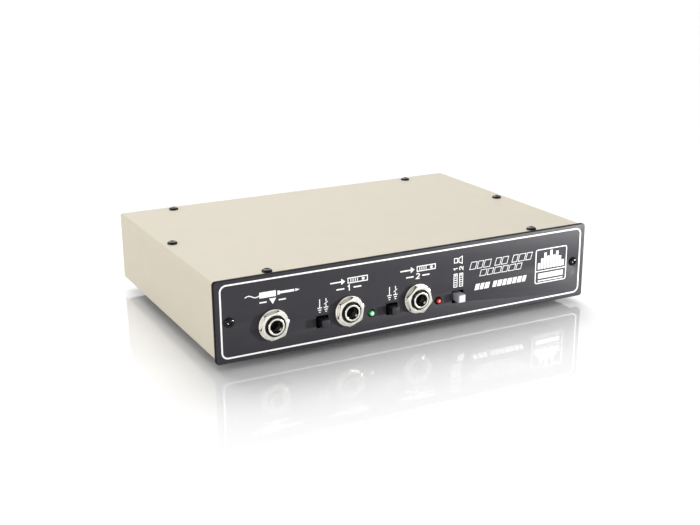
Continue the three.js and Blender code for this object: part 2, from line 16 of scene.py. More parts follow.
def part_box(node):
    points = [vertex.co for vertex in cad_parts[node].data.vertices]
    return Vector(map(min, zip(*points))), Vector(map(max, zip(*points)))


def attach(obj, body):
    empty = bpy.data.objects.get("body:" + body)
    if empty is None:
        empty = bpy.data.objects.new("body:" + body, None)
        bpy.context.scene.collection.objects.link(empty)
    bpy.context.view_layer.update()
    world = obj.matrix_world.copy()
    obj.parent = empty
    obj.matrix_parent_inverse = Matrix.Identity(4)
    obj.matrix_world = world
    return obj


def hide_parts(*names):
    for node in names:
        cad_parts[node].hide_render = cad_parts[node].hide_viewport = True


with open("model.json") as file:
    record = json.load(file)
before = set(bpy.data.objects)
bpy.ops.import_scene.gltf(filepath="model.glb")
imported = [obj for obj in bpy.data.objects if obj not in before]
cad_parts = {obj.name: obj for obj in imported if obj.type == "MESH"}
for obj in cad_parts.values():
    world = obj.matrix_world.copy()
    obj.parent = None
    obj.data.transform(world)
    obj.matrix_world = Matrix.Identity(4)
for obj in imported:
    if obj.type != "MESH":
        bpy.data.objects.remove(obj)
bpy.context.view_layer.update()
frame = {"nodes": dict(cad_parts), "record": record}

MM = 0.001
ROUND_STEPS = 72
SHARP_ANGLE = math.radians(32)

# Each wall's frame: local X, Y and Z written as columns.
FRONT = Matrix(((1, 0, 0), (0, 0, -1), (0, 1, 0)))
REAR = Matrix(((-1, 0, 0), (0, 0, 1), (0, 1, 0)))
TOP = Matrix.Identity(3)
BOTTOM = Matrix(((1, 0, 0), (0, -1, 0), (0, 0, -1)))

FRONT_JACKS = ["input_jack", "amp_1_jack", "amp_2_jack"]
REAR_JACKS = ["amp_1_speaker_jack", "amp_2_speaker_jack", "cabinet_jack"]
LEDS = {"channel_1_led": "led_green", "channel_2_led": "led_red"}

# Each button's hole in the panel as width and height, the slots of its cap and of a paler sheet on the cap's
# face (painted light on the front, against the shaded sides), and the cap's rim round that sheet.
BUTTONS = {
    "ground_lift_1": ((6.6, 6.2), "button_black", "panel_grey", 0.25),
    "ground_lift_2": ((6.6, 6.2), "button_black", "panel_grey", 0.25),
    "selector": ((7.0, 6.6), "button_white", "print_white", 0.6),
}

# Sheet metal, and the holes in it that the panel and the tray share.
SHEET = 1.2
JACK_HOLE = 6.0

# The jacks' bore, their nuts and the lights.
JACK_BORE = 3.25
NUT_ACROSS_FLATS = 13.5
LED_RADIUS = 1.5


# ---- node trees

class Nodes:
    """The node tree of a material or of the world, written one node a line."""

    # The Mix node's colour sockets share their names with its other sockets, so they go by number.
    COLOUR_A, COLOUR_B, COLOUR_OUT = 6, 7, 2

    def __init__(self, owner):
        owner.use_nodes = True
        self.owner = owner
        self.tree = owner.node_tree

    def feed(self, socket, value):
        """Links a socket to another node's output, or sets it to a constant."""
        if isinstance(value, bpy.types.NodeSocket):
            self.tree.links.new(value, socket)
        elif socket.type == "RGBA":
            socket.default_value = (*value, 1)
        else:
            socket.default_value = value

    def add(self, kind, inputs=None, **settings):
        node = self.tree.nodes.new(kind)
        for key, value in settings.items():
            setattr(node, key, value)
        for key, value in (inputs or {}).items():
            self.feed(node.inputs[key], value)
        return node

    def coordinates(self, kind="Object"):
        return self.add("ShaderNodeTexCoord").outputs[kind]

    def axis(self, vector, name):
        return self.add("ShaderNodeSeparateXYZ", {"Vector": vector}).outputs[name]

    def stretched(self, scale):
        mapping = self.add("ShaderNodeMapping", {"Vector": self.coordinates(), "Scale": scale})
        return mapping.outputs["Vector"]

    def noise(self, size_mm, detail=3.0, vector=None):
        place = self.coordinates() if vector is None else vector
        inputs = {"Vector": place, "Scale": 1 / (size_mm * MM), "Detail": detail}
        return self.add("ShaderNodeTexNoise", inputs).outputs["Fac"]

    def spread(self, source, low, high, source_low=0.3, source_high=0.7):
        """The source's range spread over low to high; noise seldom leaves the default source range."""
        inputs = {
            "Value": source, "From Min": source_low, "From Max": source_high,
            "To Min": low, "To Max": high,
        }
        return self.add("ShaderNodeMapRange", inputs).outputs["Result"]

    def math(self, operation, first, second=0.0):
        return self.add("ShaderNodeMath", {0: first, 1: second}, operation=operation).outputs["Value"]

    def dot(self, first, second):
        node = self.add("ShaderNodeVectorMath", {0: first, 1: second}, operation="DOT_PRODUCT")
        return node.outputs["Value"]

    def mix(self, factor, first, second):
        inputs = {"Factor": factor, self.COLOUR_A: first, self.COLOUR_B: second}
        return self.add("ShaderNodeMix", inputs, data_type="RGBA").outputs[self.COLOUR_OUT]

    def mottled(self, noise, colour, tint):
        """A colour that drifts between two shades of itself."""
        return self.mix(self.spread(noise, 0, 1), shade(colour, 1 - tint), shade(colour, 1 + tint))

    def ramp(self, source, stops):
        node = self.add("ShaderNodeValToRGB", {"Fac": source})
        elements = node.color_ramp.elements
        while len(elements) < len(stops):
            elements.new(1)
        for element, (position, colour) in zip(elements, stops):
            element.position = position
            element.color = (*colour, 1)
        return node.outputs["Color"]

    def bump(self, height, depth_mm, strength=1.0):
        inputs = {"Height": height, "Distance": depth_mm * MM, "Strength": strength}
        return self.add("ShaderNodeBump", inputs).outputs["Normal"]

    def edges(self, radius_mm):
        """1 on an edge narrower than the radius, 0 on flat surfaces, broken up by fine noise."""
        rounded = self.add("ShaderNodeBevel", {"Radius": radius_mm * MM}, samples=4).outputs["Normal"]
        flat = self.add("ShaderNodeNewGeometry").outputs["Normal"]
        bent = self.spread(self.dot(rounded, flat), 1, 0, 0.86, 0.99)
        return self.math("MULTIPLY", bent, self.spread(self.noise(0.9, 5), 0, 1, 0.42, 0.6))

    def local_radius(self):
        """Distance from the piece's own Z axis, in metres."""
        place = self.coordinates()
        squares = [self.math("POWER", self.math("ABSOLUTE", self.axis(place, name)), 2) for name in "XY"]
        return self.math("SQRT", self.math("ADD", *squares))

    def finish(self, **inputs):
        """The material, with the named inputs of its shader linked or set."""
        shader = self.tree.nodes["Principled BSDF"]
        for name, value in inputs.items():
            self.feed(shader.inputs[name.replace("_", " ")], value)
        return self.owner


def shade(colour, factor):
    return tuple(min(1.0, channel * factor) for channel in colour)


# ---- camera, light and floor

def add_camera():
    azimuth, elevation, roll = (math.radians(a) for a in (27.44, 17.26, 0.41))
    distance = 0.6507
    aim = Vector((0.00127, -0.00032, 0.01903))
    back = Vector((
        -math.sin(azimuth) * math.cos(elevation),
        -math.cos(azimuth) * math.cos(elevation),
        math.sin(elevation),
    ))
    right = Vector((0, 0, 1)).cross(back).normalized()
    up = back.cross(right)
    rolled_right = math.cos(roll) * right - math.sin(roll) * up
    rolled_up = math.sin(roll) * right + math.cos(roll) * up
    turn = Matrix((rolled_right, rolled_up, back)).transposed().to_4x4()
    data = bpy.data.cameras.new("camera")
    data.lens = 58.1
    data.sensor_width = 36
    data.clip_start = 0.01
    camera = bpy.data.objects.new("camera", data)
    camera.matrix_world = Matrix.Translation(aim + distance * back) @ turn
    bpy.context.scene.collection.objects.link(camera)
    bpy.context.scene.camera = camera


def add_area_light(name, place, size, power, aim=(0, 0, 0)):
    data = bpy.data.lights.new(name, "AREA")
    data.shape = "DISK"
    data.size = size
    data.energy = power
    lamp = bpy.data.objects.new(name, data)
    away = Vector(place) - Vector(aim)
    lamp.matrix_world = Matrix.Translation(place) @ away.to_track_quat("Z", "Y").to_matrix().to_4x4()
    bpy.context.scene.collection.objects.link(lamp)


def add_world(overhead, horizon, key_direction, key_strength, key_tightness):
    """A pale room: light that is strongest at the horizon, and one wide soft patch as the key light."""
    horizon_tightness = 3
    nodes = Nodes(bpy.data.worlds.new("studio"))
    direction = nodes.coordinates("Generated")
    height = nodes.math("MAXIMUM", nodes.axis(direction, "Z"), 0)
    low_light = nodes.math("POWER", nodes.math("SUBTRACT", 1, height), horizon_tightness)
    room = nodes.math("ADD", nodes.math("MULTIPLY", low_light, horizon - overhead), overhead)
    towards_key = nodes.math("MAXIMUM", nodes.dot(direction, Vector(key_direction).normalized()), 0)
    key = nodes.math("MULTIPLY", nodes.math("POWER", towards_key, key_tightness), key_strength)
    background = nodes.tree.nodes["Background"]
    nodes.feed(background.inputs["Color"], (1, 1, 1))
    nodes.feed(background.inputs["Strength"], nodes.math("ADD", room, key))
    bpy.context.scene.world = nodes.owner


def add_floor(material):
    reach = 12
    data = bpy.data.meshes.new("floor")
    corners = [(x, y, 0) for x, y in box_points(-reach, -reach, reach, reach)]
    data.from_pydata(corners, [], [(0, 1, 2, 3)])
    data.materials.append(material)
    floor = bpy.data.objects.new("floor", data)
    bpy.context.scene.collection.objects.link(floor)


# ---- materials

def new_nodes(name):
    return Nodes(bpy.data.materials.new(name))


def coated(name, colour, roughness, grain_mm, relief_mm, specular=0.5, tint=0.04, wear=None):
    """Paint or powder coat: fine orange peel, faint blotches, and edges rubbed towards the wear colour."""
    nodes = new_nodes(name)
    base = nodes.mottled(nodes.noise(14, 4), colour, tint)
    if wear:
        rubbed = nodes.math("MULTIPLY", nodes.edges(0.35), 0.5)
        base = nodes.mix(rubbed, base, wear)
    rough = nodes.spread(nodes.noise(3.5, 5), roughness - 0.04, roughness + 0.05)
    normal = nodes.bump(nodes.noise(grain_mm, 2), relief_mm)
    return nodes.finish(Base_Color=base, Roughness=rough, Normal=normal, Specular_IOR_Level=specular)


def panel_paint(name, face, edge_shade, roughness):
    """Textured paint on the outer face of a plate; local +Z is outwards. Surfaces turned away from it, the
    plate's edges and hole walls, get a near-black painted shade and lose their shine, which makes a painted
    shadow line.
    """
    nodes = new_nodes(name)
    facing = nodes.spread(nodes.axis(nodes.coordinates("Normal"), "Z"), 0, 1, 0.55, 0.85)
    # Edges get the near-black painted shade in place of the paint's colour.
    base = nodes.mix(facing, edge_shade, nodes.mottled(nodes.noise(14, 4), face, 0.02))
    rough = nodes.spread(nodes.noise(3.5, 5), roughness - 0.04, roughness + 0.05)
    normal = nodes.bump(nodes.noise(0.28, 2), 0.006)
    # Shine fades on the edges too, so they stay a painted shadow line.
    shine = nodes.spread(facing, 0.02, 0.22, 0, 1)
    return nodes.finish(Base_Color=base, Roughness=rough, Normal=normal, Specular_IOR_Level=shine)


def moulded(name, colour, roughness, tint=0.08):
    """Moulded plastic: a fine spark-eroded texture with slight flow marks."""
    nodes = new_nodes(name)
    flow = nodes.noise(4, vector=nodes.stretched((1, 1, 0.3)))
    base = nodes.mottled(flow, colour, tint)
    rough = nodes.spread(nodes.noise(0.8, 4), roughness - 0.06, roughness + 0.08)
    normal = nodes.bump(nodes.noise(0.25, 2), 0.006)
    return nodes.finish(Base_Color=base, Roughness=rough, Normal=normal)


def turned_metal(name, colour, roughness):
    """Plated metal with faint rings left by the lathe, round the piece's own axis, and a few stains."""
    nodes = new_nodes(name)
    inputs = {"W": nodes.local_radius(), "Scale": 1 / (0.12 * MM), "Detail": 2}
    rings = nodes.add("ShaderNodeTexNoise", inputs, noise_dimensions="1D")
    stains = nodes.noise(1.6, 4)
    base = nodes.mix(nodes.spread(stains, 0, 1, 0.35, 0.75), colour, shade(colour, 0.86))
    rough = nodes.spread(stains, roughness - 0.05, roughness + 0.08)
    normal = nodes.bump(rings.outputs["Fac"], 0.004, 0.6)
    return nodes.finish(Base_Color=base, Roughness=rough, Normal=normal, Metallic=1.0)


def rubber(name, colour):
    """Dull rubber with dust in its pores."""
    nodes = new_nodes(name)
    dust = nodes.noise(0.6, 6)
    base = nodes.mix(nodes.spread(dust, 0, 1, 0.5, 0.75), colour, shade(colour, 1.9))
    rough = nodes.spread(dust, 0.78, 0.95)
    normal = nodes.bump(nodes.noise(0.18), 0.02)
    return nodes.finish(Base_Color=base, Roughness=rough, Normal=normal, Specular_IOR_Level=0.3)


def lens(name, centre, body, rim, glow):
    """A tinted lens, lit from inside: palest in the middle, where it glows, and darkening to a painted shade
    at its rim.
    """
    nodes = new_nodes(name)
    out = nodes.spread(nodes.local_radius(), 0, 1, 0, LED_RADIUS * MM)
    # The rim colour is painted shade of the dome's edge; the glow follows the same ramp.
    tinted = nodes.ramp(out, [(0.0, centre), (0.55, body), (0.95, rim)])
    rough = nodes.spread(nodes.noise(0.5), 0.08, 0.16)
    normal = nodes.bump(nodes.noise(0.7), 0.004)
    return nodes.finish(
        Base_Color=tinted, Roughness=rough, Normal=normal, Coat_Weight=0.6, Coat_Roughness=0.04,
        Emission_Color=tinted, Emission_Strength=glow,
    )


def screen_ink(name, colour):
    """Screen print: dense ink with small thin spots and a faint mesh texture."""
    nodes = new_nodes(name)
    thin = nodes.spread(nodes.noise(0.5, 5), 0, 1, 0.62, 0.8)
    base = nodes.mix(thin, colour, shade(colour, 0.8))
    rough = nodes.spread(nodes.noise(1.2), 0.45, 0.6)
    normal = nodes.bump(nodes.noise(0.12), 0.004)
    return nodes.finish(Base_Color=base, Roughness=rough, Normal=normal)


def banded(name, first, second, pitch_mm, axis, roughness, metallic=0.0):
    """Regular bands: the laminations of a core, or the conductors of a ribbon cable."""
    nodes = new_nodes(name)
    # A wave texture of scale 1 has bands pi / 10 units apart.
    inputs = {"Vector": nodes.coordinates(), "Scale": math.pi / (10 * pitch_mm * MM), "Distortion": 0.6}
    wave = nodes.add("ShaderNodeTexWave", inputs, bands_direction=axis, wave_profile="SIN").outputs["Fac"]
    rough = nodes.spread(nodes.noise(1.5, 4), roughness - 0.06, roughness + 0.08)
    normal = nodes.bump(wave, 0.03, 0.6)
    base = nodes.mix(wave, first, second)
    return nodes.finish(Base_Color=base, Roughness=rough, Normal=normal, Metallic=metallic)


def circuit_board(name):
    """Solder mask over a regular grid of tracks."""
    nodes = new_nodes(name)
    inputs = {
        "Vector": nodes.coordinates(), "Scale": 90, "Mortar Size": 0.012, "Mortar": (0.035, 0.19, 0.08),
        "Color1": (0.012, 0.085, 0.035), "Color2": (0.016, 0.105, 0.045),
    }
    tracks = nodes.add("ShaderNodeTexBrick", inputs).outputs
    rough = nodes.spread(nodes.noise(2), 0.28, 0.4)
    normal = nodes.bump(tracks["Fac"], 0.03, 0.5)
    return nodes.finish(Base_Color=tracks["Color"], Roughness=rough, Normal=normal)


def floor_finish():
    """A pale, polished table top that mirrors the object faintly."""
    nodes = new_nodes("floor_pale")
    cloud = nodes.spread(nodes.noise(300, 2), 0, 1)
    base = nodes.mix(cloud, (0.94, 0.94, 0.94), (0.96, 0.96, 0.96))
    return nodes.finish(Base_Color=base, Roughness=nodes.spread(nodes.noise(120), 0.035, 0.05))


def add_finishes():
    """One material for each material slot of the record."""
    # Each light's darkest colour is the painted shade at its lens's rim.
    red, red_rim_shade = (0.62, 0.015, 0.015), (0.09, 0.003, 0.003)
    green, green_rim_shade = (0.32, 0.76, 0.42), (0.012, 0.13, 0.03)
    steel, bright_steel = (0.16, 0.165, 0.17), (0.26, 0.265, 0.275)
    worn = (0.06, 0.06, 0.06)
    return {
        # The panel's second colour is the near-black painted shade of its edges.
        "panel_grey": panel_paint("panel_grey", (0.036, 0.034, 0.040), (0.004, 0.004, 0.004), 0.42),
        "cover_cream": coated("cover_cream", (0.574, 0.524, 0.422), 0.55, 0.55, 0.012, 0.3, 0.01),
        "tray_black": coated("tray_black", (0.012, 0.012, 0.013), 0.5, 0.45, 0.014, wear=worn),
        "screw_black": coated("screw_black", (0.002, 0.002, 0.002), 0.12, 0.3, 0.002, 0.3),
        "rubber_black": rubber("rubber_black", (0.008, 0.008, 0.008)),
        "circuit_board": circuit_board("circuit_board"),
        "nylon_white": moulded("nylon_white", (0.74, 0.72, 0.66), 0.45),
        "jack_plastic": moulded("jack_plastic", (0.008, 0.008, 0.0085), 0.36),
        "bright_nickel": turned_metal("bright_nickel", (0.97, 0.95, 0.88), 0.17),
        "switch_plastic": moulded("switch_plastic", (0.010, 0.010, 0.011), 0.5),
        "button_black": moulded("button_black", (0.012, 0.012, 0.013), 0.3),
        # The white cap's grey is the painted shade of its sides; its lit front is the pale sheet on its face.
        "button_white": moulded("button_white", (0.50, 0.50, 0.55), 0.32, tint=0.03),
        "led_green": lens("led_green", (0.66, 0.96, 0.72), green, green_rim_shade, 0.5),
        "led_red": lens("led_red", (0.95, 0.30, 0.28), red, red_rim_shade, 0.3),
        "core_steel": banded("core_steel", steel, bright_steel, 0.5, "Y", 0.4, 0.9),
        "relay_case": moulded("relay_case", (0.014, 0.032, 0.08), 0.3),
        "resistor_gold": coated("resistor_gold", (0.43, 0.27, 0.05), 0.32, 0.3, 0.008),
        "ribbon_grey": banded("ribbon_grey", (0.32, 0.33, 0.34), (0.20, 0.205, 0.21), 1.27, "X", 0.55),
        "print_white": screen_ink("print_white", (0.95, 0.95, 0.95)),
    }


# ---- outlines and meshes

def angles_round(steps):
    return [2 * math.pi * i / steps for i in range(steps)]


def polar(radius, angle, height):
    return radius * math.cos(angle), radius * math.sin(angle), height


def circle(x, y, radius, steps):
    return [(x + radius * math.cos(a), y + radius * math.sin(a)) for a in angles_round(steps)]


def round_ring(radius, height):
    return [polar(radius, a, height) for a in angles_round(ROUND_STEPS)]


def arc_points(x, y, radius, start, end):
    steps = 10
    angles = [math.radians(start + (end - start) * k / steps) for k in range(steps + 1)]
    return [(x + radius * math.cos(a), y + radius * math.sin(a)) for a in angles]


def box_points(x0, y0, x1, y1):
    return [(x0, y0), (x1, y0), (x1, y1), (x0, y1)]


def hexagon_reach(angle, across_flats):
    """How far a hexagon's side is from its centre in one direction."""
    sixth = math.pi / 3
    return across_flats / 2 / math.cos((angle % sixth) - sixth / 2)


def eased(points, radius, closed=True, steps=3):
    """An outline with each corner rounded; a corner between short edges gets a smaller round."""
    count = len(points)
    most_of_an_edge = 0.45
    result = []
    for i, corner in enumerate(points):
        if not closed and i in (0, count - 1):
            result.append(corner)
            continue
        here, before, after = (Vector(points[k % count]) for k in (i, i - 1, i + 1))
        sides = [other - here for other in (before, after)]
        reach = min(radius, *(most_of_an_edge * side.length for side in sides))
        first, last = (here + side.normalized() * reach for side in sides)
        for k in range(steps + 1):
            t = k / steps
            result.append(tuple((1 - t) ** 2 * first + 2 * t * (1 - t) * here + t ** 2 * last))
    return result


def ring_faces(first, second, count):
    """Quads, or triangles where a ring is a single point, between two rings of vertex numbers."""
    faces = []
    for i in range(count):
        j = (i + 1) % count
        if len(first) == 1:
            faces.append((first[0], second[i], second[j]))
        elif len(second) == 1:
            faces.append((first[i], second[0], first[j]))
        else:
            faces.append((first[i], second[i], second[j], first[j]))
    return faces


class Shape:
    """Vertices and faces collected from several closed surfaces, in millimetres."""

    def __init__(self):
        self.vertices = []
        self.faces = []

    def points(self, points):
        first = len(self.vertices)
        self.vertices.extend(points)
        return list(range(first, len(self.vertices)))

    def rings(self, rings, closed):
        """A surface through rings of points that all have the same count, or a single point."""
        count = max(len(ring) for ring in rings)
        numbers = [self.points(ring) for ring in rings]
        pairs = list(zip(numbers, numbers[1:]))
        if closed:
            pairs.append((numbers[-1], numbers[0]))
        for first, second in pairs:
            self.faces.extend(ring_faces(first, second, count))
        return self

    def turned(self, profile, closed=True):
        """A profile of (radius, height) turned about Z."""
        rings = [round_ring(radius, height) if radius > 0 else [(0, 0, height)] for radius, height in profile]
        return self.rings(rings, closed)

    def capped_rings(self, rings):
        """A surface through rings of four points, closed by a face at each end."""
        first = len(self.vertices)
        self.rings(rings, closed=False)
        last = len(self.vertices) - 4
        self.faces.append((first + 3, first + 2, first + 1, first))
        self.faces.append((last, last + 1, last + 2, last + 3))
        return self

    def prism(self, outline, low, high):
        """A straight solid on any outline of (x, y)."""
        bottom = self.points([(x, y, low) for x, y in outline])
        top = self.points([(x, y, high) for x, y in outline])
        self.faces.extend(ring_faces(bottom, top, len(outline)))
        for triangle in tessellate_polygon([[Vector((x, y, 0)) for x, y in outline]]):
            self.faces.append(tuple(top[k] for k in triangle))
            self.faces.append(tuple(bottom[k] for k in reversed(triangle)))
        return self

    def taken(self, work):
        """Takes over the vertices and faces of a bmesh, and frees it."""
        work.verts.index_update()
        numbers = self.points([tuple(v.co) for v in work.verts])
        self.faces.extend(tuple(numbers[v.index] for v in face.verts) for face in work.faces)
        work.free()
        return self

    def block(self, low, high, ease=0.3, steps=3):
        """A box with every edge and corner rounded."""
        work = bmesh.new()
        bmesh.ops.create_cube(work, size=1)
        for vertex in work.verts:
            vertex.co = Vector(low[k] + (vertex.co[k] + 0.5) * (high[k] - low[k]) for k in range(3))
        bmesh.ops.bevel(work, geom=work.edges[:], offset=ease, segments=steps, profile=0.5, affect="EDGES")
        return self.taken(work)

    def moved(self, change):
        """Every vertex so far passed through a function of x, y and z."""
        self.vertices = [change(*vertex) for vertex in self.vertices]
        return self

    def join(self, other):
        offset = len(self.vertices)
        self.vertices.extend(other.vertices)
        self.faces.extend(tuple(k + offset for k in face) for face in other.faces)

    def made(self, name, place=(0, 0, 0), wall=TOP):
        mesh = bpy.data.meshes.new(name)
        mesh.from_pydata([tuple(c * MM for c in vertex) for vertex in self.vertices], [], self.faces)
        work = bmesh.new()
        work.from_mesh(mesh)
        bmesh.ops.remove_doubles(work, verts=work.verts, dist=1e-7)
        bmesh.ops.recalc_face_normals(work, faces=work.faces)
        work.to_mesh(mesh)
        work.free()
        smooth(mesh)
        piece = bpy.data.objects.new(name, mesh)
        piece.matrix_world = Matrix.Translation(place) @ wall.to_4x4()
        bpy.context.scene.collection.objects.link(piece)
        return piece


def smooth(mesh):
    mesh.shade_smooth()
    mesh.set_sharp_from_angle(angle=SHARP_ANGLE)


def dress(piece, slot, nodes, body="housing"):
    """Gives a piece its material and its body, and lets it stand for CAD nodes."""
    piece.data.materials.append(finishes[slot])
    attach(piece, body)
    if nodes:
        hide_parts(*nodes)


def put(shape, name, slot, place, wall, *nodes, body="housing"):
    dress(shape.made(name, place, wall), slot, nodes, body)


def middle(node):
    low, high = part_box(node)
    return (low + high) / 2


def half_sizes(node):
    """Half the width and half the height of a node, in mm."""
    low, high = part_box(node)
    return (high.x - low.x) / 2 / MM, (high.z - low.z) / 2 / MM


def seen_from(wall, node):
    """The point of the wall at a node's middle, and how far in mm the node reaches out of it and back."""
    low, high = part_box(node)
    centre = middle(node)
    if wall is FRONT:
        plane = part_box("front_panel")[0].y
        out, back = plane - low.y, high.y - plane
    else:
        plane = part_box("chassis_tray")[1].y
        out, back = high.y - plane, plane - low.y
    return Vector((centre.x, plane, centre.z)), out / MM, back / MM


# ---- sheet metal

def round_hole(x, y, radius):
    """A hole as a function of how far its outline is grown."""
    return lambda grow: circle(x, y, radius + grow, 48)


def rounded_box(x, y, width, height, radius, steps=6):
    """A rounded rectangle as a function of how far its outline is grown."""
    sharpest = 0.02

    def loop(grow):
        reach = max(radius + grow, sharpest)
        half_width, half_height = width / 2 + grow - reach, height / 2 + grow - reach
        points = []
        for quarter, (sx, sy) in enumerate(((1, 1), (-1, 1), (-1, -1), (1, -1))):
            for k in range(steps + 1):
                along, up, _ = polar(reach, (quarter + k / steps) * math.pi / 2, 0)
                points.append((x + sx * half_width + along, y + sy * half_height + up))
        return points
    return loop


def plate(outline, holes, thickness, bevel, hole_bevel):
    """A flat plate from z = 0 back, with both its faces' edges rounded round its outline and its holes."""
    steps = 4
    shape = Shape()
    sheets = []
    for z in (0, -thickness):
        loops = [outline(-bevel)] + [hole(hole_bevel) for hole in holes]
        sheets.append([shape.points([(x, y, z) for x, y in loop]) for loop in loops])
        flat = [number for loop in sheets[-1] for number in loop]
        for triangle in tessellate_polygon([[Vector((x, y, 0)) for x, y in loop] for loop in loops]):
            shape.faces.append(tuple(flat[k] for k in triangle))
    arc = [k / steps * math.pi / 2 for k in range(1, steps + 1)]
    levels = [(0, -1, angle) for angle in arc] + [(-thickness, 1, angle) for angle in reversed(arc)]
    for i, loop in enumerate([outline] + holes):
        ease = -bevel if i == 0 else hole_bevel
        rings = [sheets[0][i]]
        for face, inwards, angle in levels:
            z = face + inwards * abs(ease) * (1 - math.cos(angle))
            rings.append(shape.points([(x, y, z) for x, y in loop(ease * (1 - math.sin(angle)))]))
        rings.append(sheets[1][i])
        for first, second in zip(rings, rings[1:]):
            shape.faces.extend(ring_faces(first, second, len(first)))
    return shape


def swept(outline, low, high):
    """A closed outline given length along Z, with the edges of both its ends slightly rounded."""
    ease = 0.2
    work = bmesh.new()
    lower = [work.verts.new((x, y, low)) for x, y in outline]
    upper = [work.verts.new((x, y, high)) for x, y in outline]
    ends = [work.faces.new(lower[::-1]), work.faces.new(upper)]
    for i in range(len(outline)):
        j = (i + 1) % len(outline)
        work.faces.new((lower[i], lower[j], upper[j], upper[i]))
    rims = [edge for end in ends for edge in end.edges]
    bmesh.ops.bevel(work, geom=rims, offset=ease, segments=2, profile=0.5, affect="EDGES", clamp_overlap=True)
    bmesh.ops.triangulate(work, faces=[face for face in work.faces if len(face.verts) > 4])
    return Shape().taken(work)


def bent_sheet(bends, radius, last_end, first_end=()):
    """The outline of a bent sheet: its outer side, its last end, its inner side and its first end.

    Each bend is a quarter turn, given as its centre and the angle at which its outer side starts.
    """
    outer, inner = [], []
    for x, y, angle in bends:
        outer += arc_points(x, y, radius, angle, angle + 90)
        inner = arc_points(x, y, radius - SHEET, angle + 90, angle) + inner
    return [*outer, *last_end, *inner, *first_end]


def panel_frame():
    """The middle of the panel's bottom edge, and its width, thickness and height in mm."""
    low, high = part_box("front_panel")
    return Vector(((low.x + high.x) / 2, low.y, low.z)), *((high - low) / MM)


def add_front_panel():
    """The plate with its openings; each hole is where the part that fills it is."""
    led_hole, screw_hole, button_corner = 2.1, 1.8, 0.35
    corner, edge, hole_edge = 1.6, 0.35, 0.15
    origin, width, thickness, height = panel_frame()

    def spot(node):
        centre = (middle(node) - origin) / MM
        return centre.x, centre.z

    holes = [round_hole(*spot(f"{jack}_ferrule"), JACK_HOLE) for jack in FRONT_JACKS]
    holes += [round_hole(*spot(led), led_hole) for led in LEDS]
    holes += [round_hole(*spot(f"panel_screw_{side}"), screw_hole) for side in ("left", "right")]
    holes += [rounded_box(*spot(f"{name}_button"), *row[0], button_corner) for name, row in BUTTONS.items()]
    shape = plate(rounded_box(0, height / 2, width, height, corner), holes, thickness, edge, hole_edge)
    put(shape, "panel_plate", "panel_grey", origin, FRONT, "front_panel")


def add_cover():
    """One bent sheet: its outline drawn in X and Z, swept from front to back."""
    low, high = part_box("top_cover")
    half, bottom, top = high.x / MM, low.z / MM, high.z / MM
    bend, edge = 1.5, 0.2
    x, z = half - bend, top - bend
    leg = [
        (-half, bottom + edge), (-half + edge, bottom),
        (-half + SHEET - edge, bottom), (-half + SHEET, bottom + edge),
    ]
    other_leg = [(-x, z) for x, z in reversed(leg)]
    outline = bent_sheet([(x, z, 0), (-x, z, 90)], bend, leg, other_leg)
    shape = swept(outline, 0, (high.y - low.y) / MM)
    put(shape, "cover_sheet", "cover_cream", (0, high.y, 0), FRONT, "top_cover")


def cut_holes(piece, holes):
    """Cuts round holes, each given as (centre, axis, radius, length) in metres, through a piece."""
    cutter_mesh = bpy.data.meshes.new("cutter")
    work = bmesh.new()
    for centre, axis, radius, length in holes:
        turn = Vector(axis).to_track_quat("Z", "Y").to_matrix().to_4x4()
        bmesh.ops.create_cone(
            work, cap_ends=True, segments=48, radius1=radius, radius2=radius, depth=length,
            matrix=Matrix.Translation(centre) @ turn,
        )
    work.to_mesh(cutter_mesh)
    work.free()
    cutter = bpy.data.objects.new("cutter", cutter_mesh)
    bpy.context.scene.collection.objects.link(cutter)
    modifier = piece.modifiers.new("holes", "BOOLEAN")
    modifier.operation = "DIFFERENCE"
    modifier.solver = "EXACT"
    modifier.use_self = True
    modifier.object = cutter
    bpy.context.view_layer.update()
    graph = bpy.context.evaluated_depsgraph_get()
    result = bpy.data.meshes.new_from_object(piece.evaluated_get(graph))
    piece.modifiers.clear()
    piece.data = result
    bpy.data.objects.remove(cutter)
    bpy.data.meshes.remove(cutter_mesh)
    smooth(result)


def tray_holes():
    """The holes through the tray, as (centre, axis, radius, length)."""
    inlet_hole, clearance, support_hole = 4.2, 4.4, 2.2
    low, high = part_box("chassis_tray")
    rows = [(high.y, jack, JACK_HOLE) for jack in REAR_JACKS] + [(high.y, "dc_inlet", inlet_hole)]
    rows += [(low.y, f"{jack}_ferrule", JACK_HOLE) for jack in FRONT_JACKS]
    rows += [(low.y, f"{name}_button", clearance) for name in BUTTONS]
    rows += [(low.y, led, clearance) for led in LEDS]
    through = 5 * MM
    holes = []
    for wall_y, node, radius in rows:
        centre = middle(node)
        holes.append((Vector((centre.x, wall_y, centre.z)), (0, 1, 0), radius * MM, through))
    for number in range(1, 5):
        centre = middle(f"board_support_{number}")
        holes.append((Vector((centre.x, centre.y, low.z)), (0, 0, 1), support_hole * MM, through))
    return holes


def add_tray():
    """The folded tray: a channel from front to back, and a wall with its bends at each side.

    Every wall bends up from the floor, and over into a lip at its top.
    """
    low, high = (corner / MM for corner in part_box("chassis_tray"))
    bend, lip = 2.0, 10.0
    front, rear, side = low.y + bend, high.y - bend, high.x - bend
    under, over = low.z + bend, high.z - bend

    def lip_end(x):
        return [(x, high.z), (x, high.z - SHEET)]

    bends = [(front, over, 90), (front, under, 180), (rear, under, 270), (rear, over, 0)]
    channel = bent_sheet(bends, bend, lip_end(high.y - lip), reversed(lip_end(low.y + lip)))
    shape = swept(channel, -side, side).moved(lambda y, z, x: (x, y, z))
    wall = bent_sheet([(side, under, 270), (side, over, 0)], bend, lip_end(high.x - lip))
    for sign in (-1, 1):
        shape.join(swept(wall, front, rear).moved(lambda x, z, y: (sign * x, y, z)))
    piece = shape.made("tray_sheet")
    cut_holes(piece, tray_holes())
    dress(piece, "tray_black", ["chassis_tray"])


# ---- screws and feet

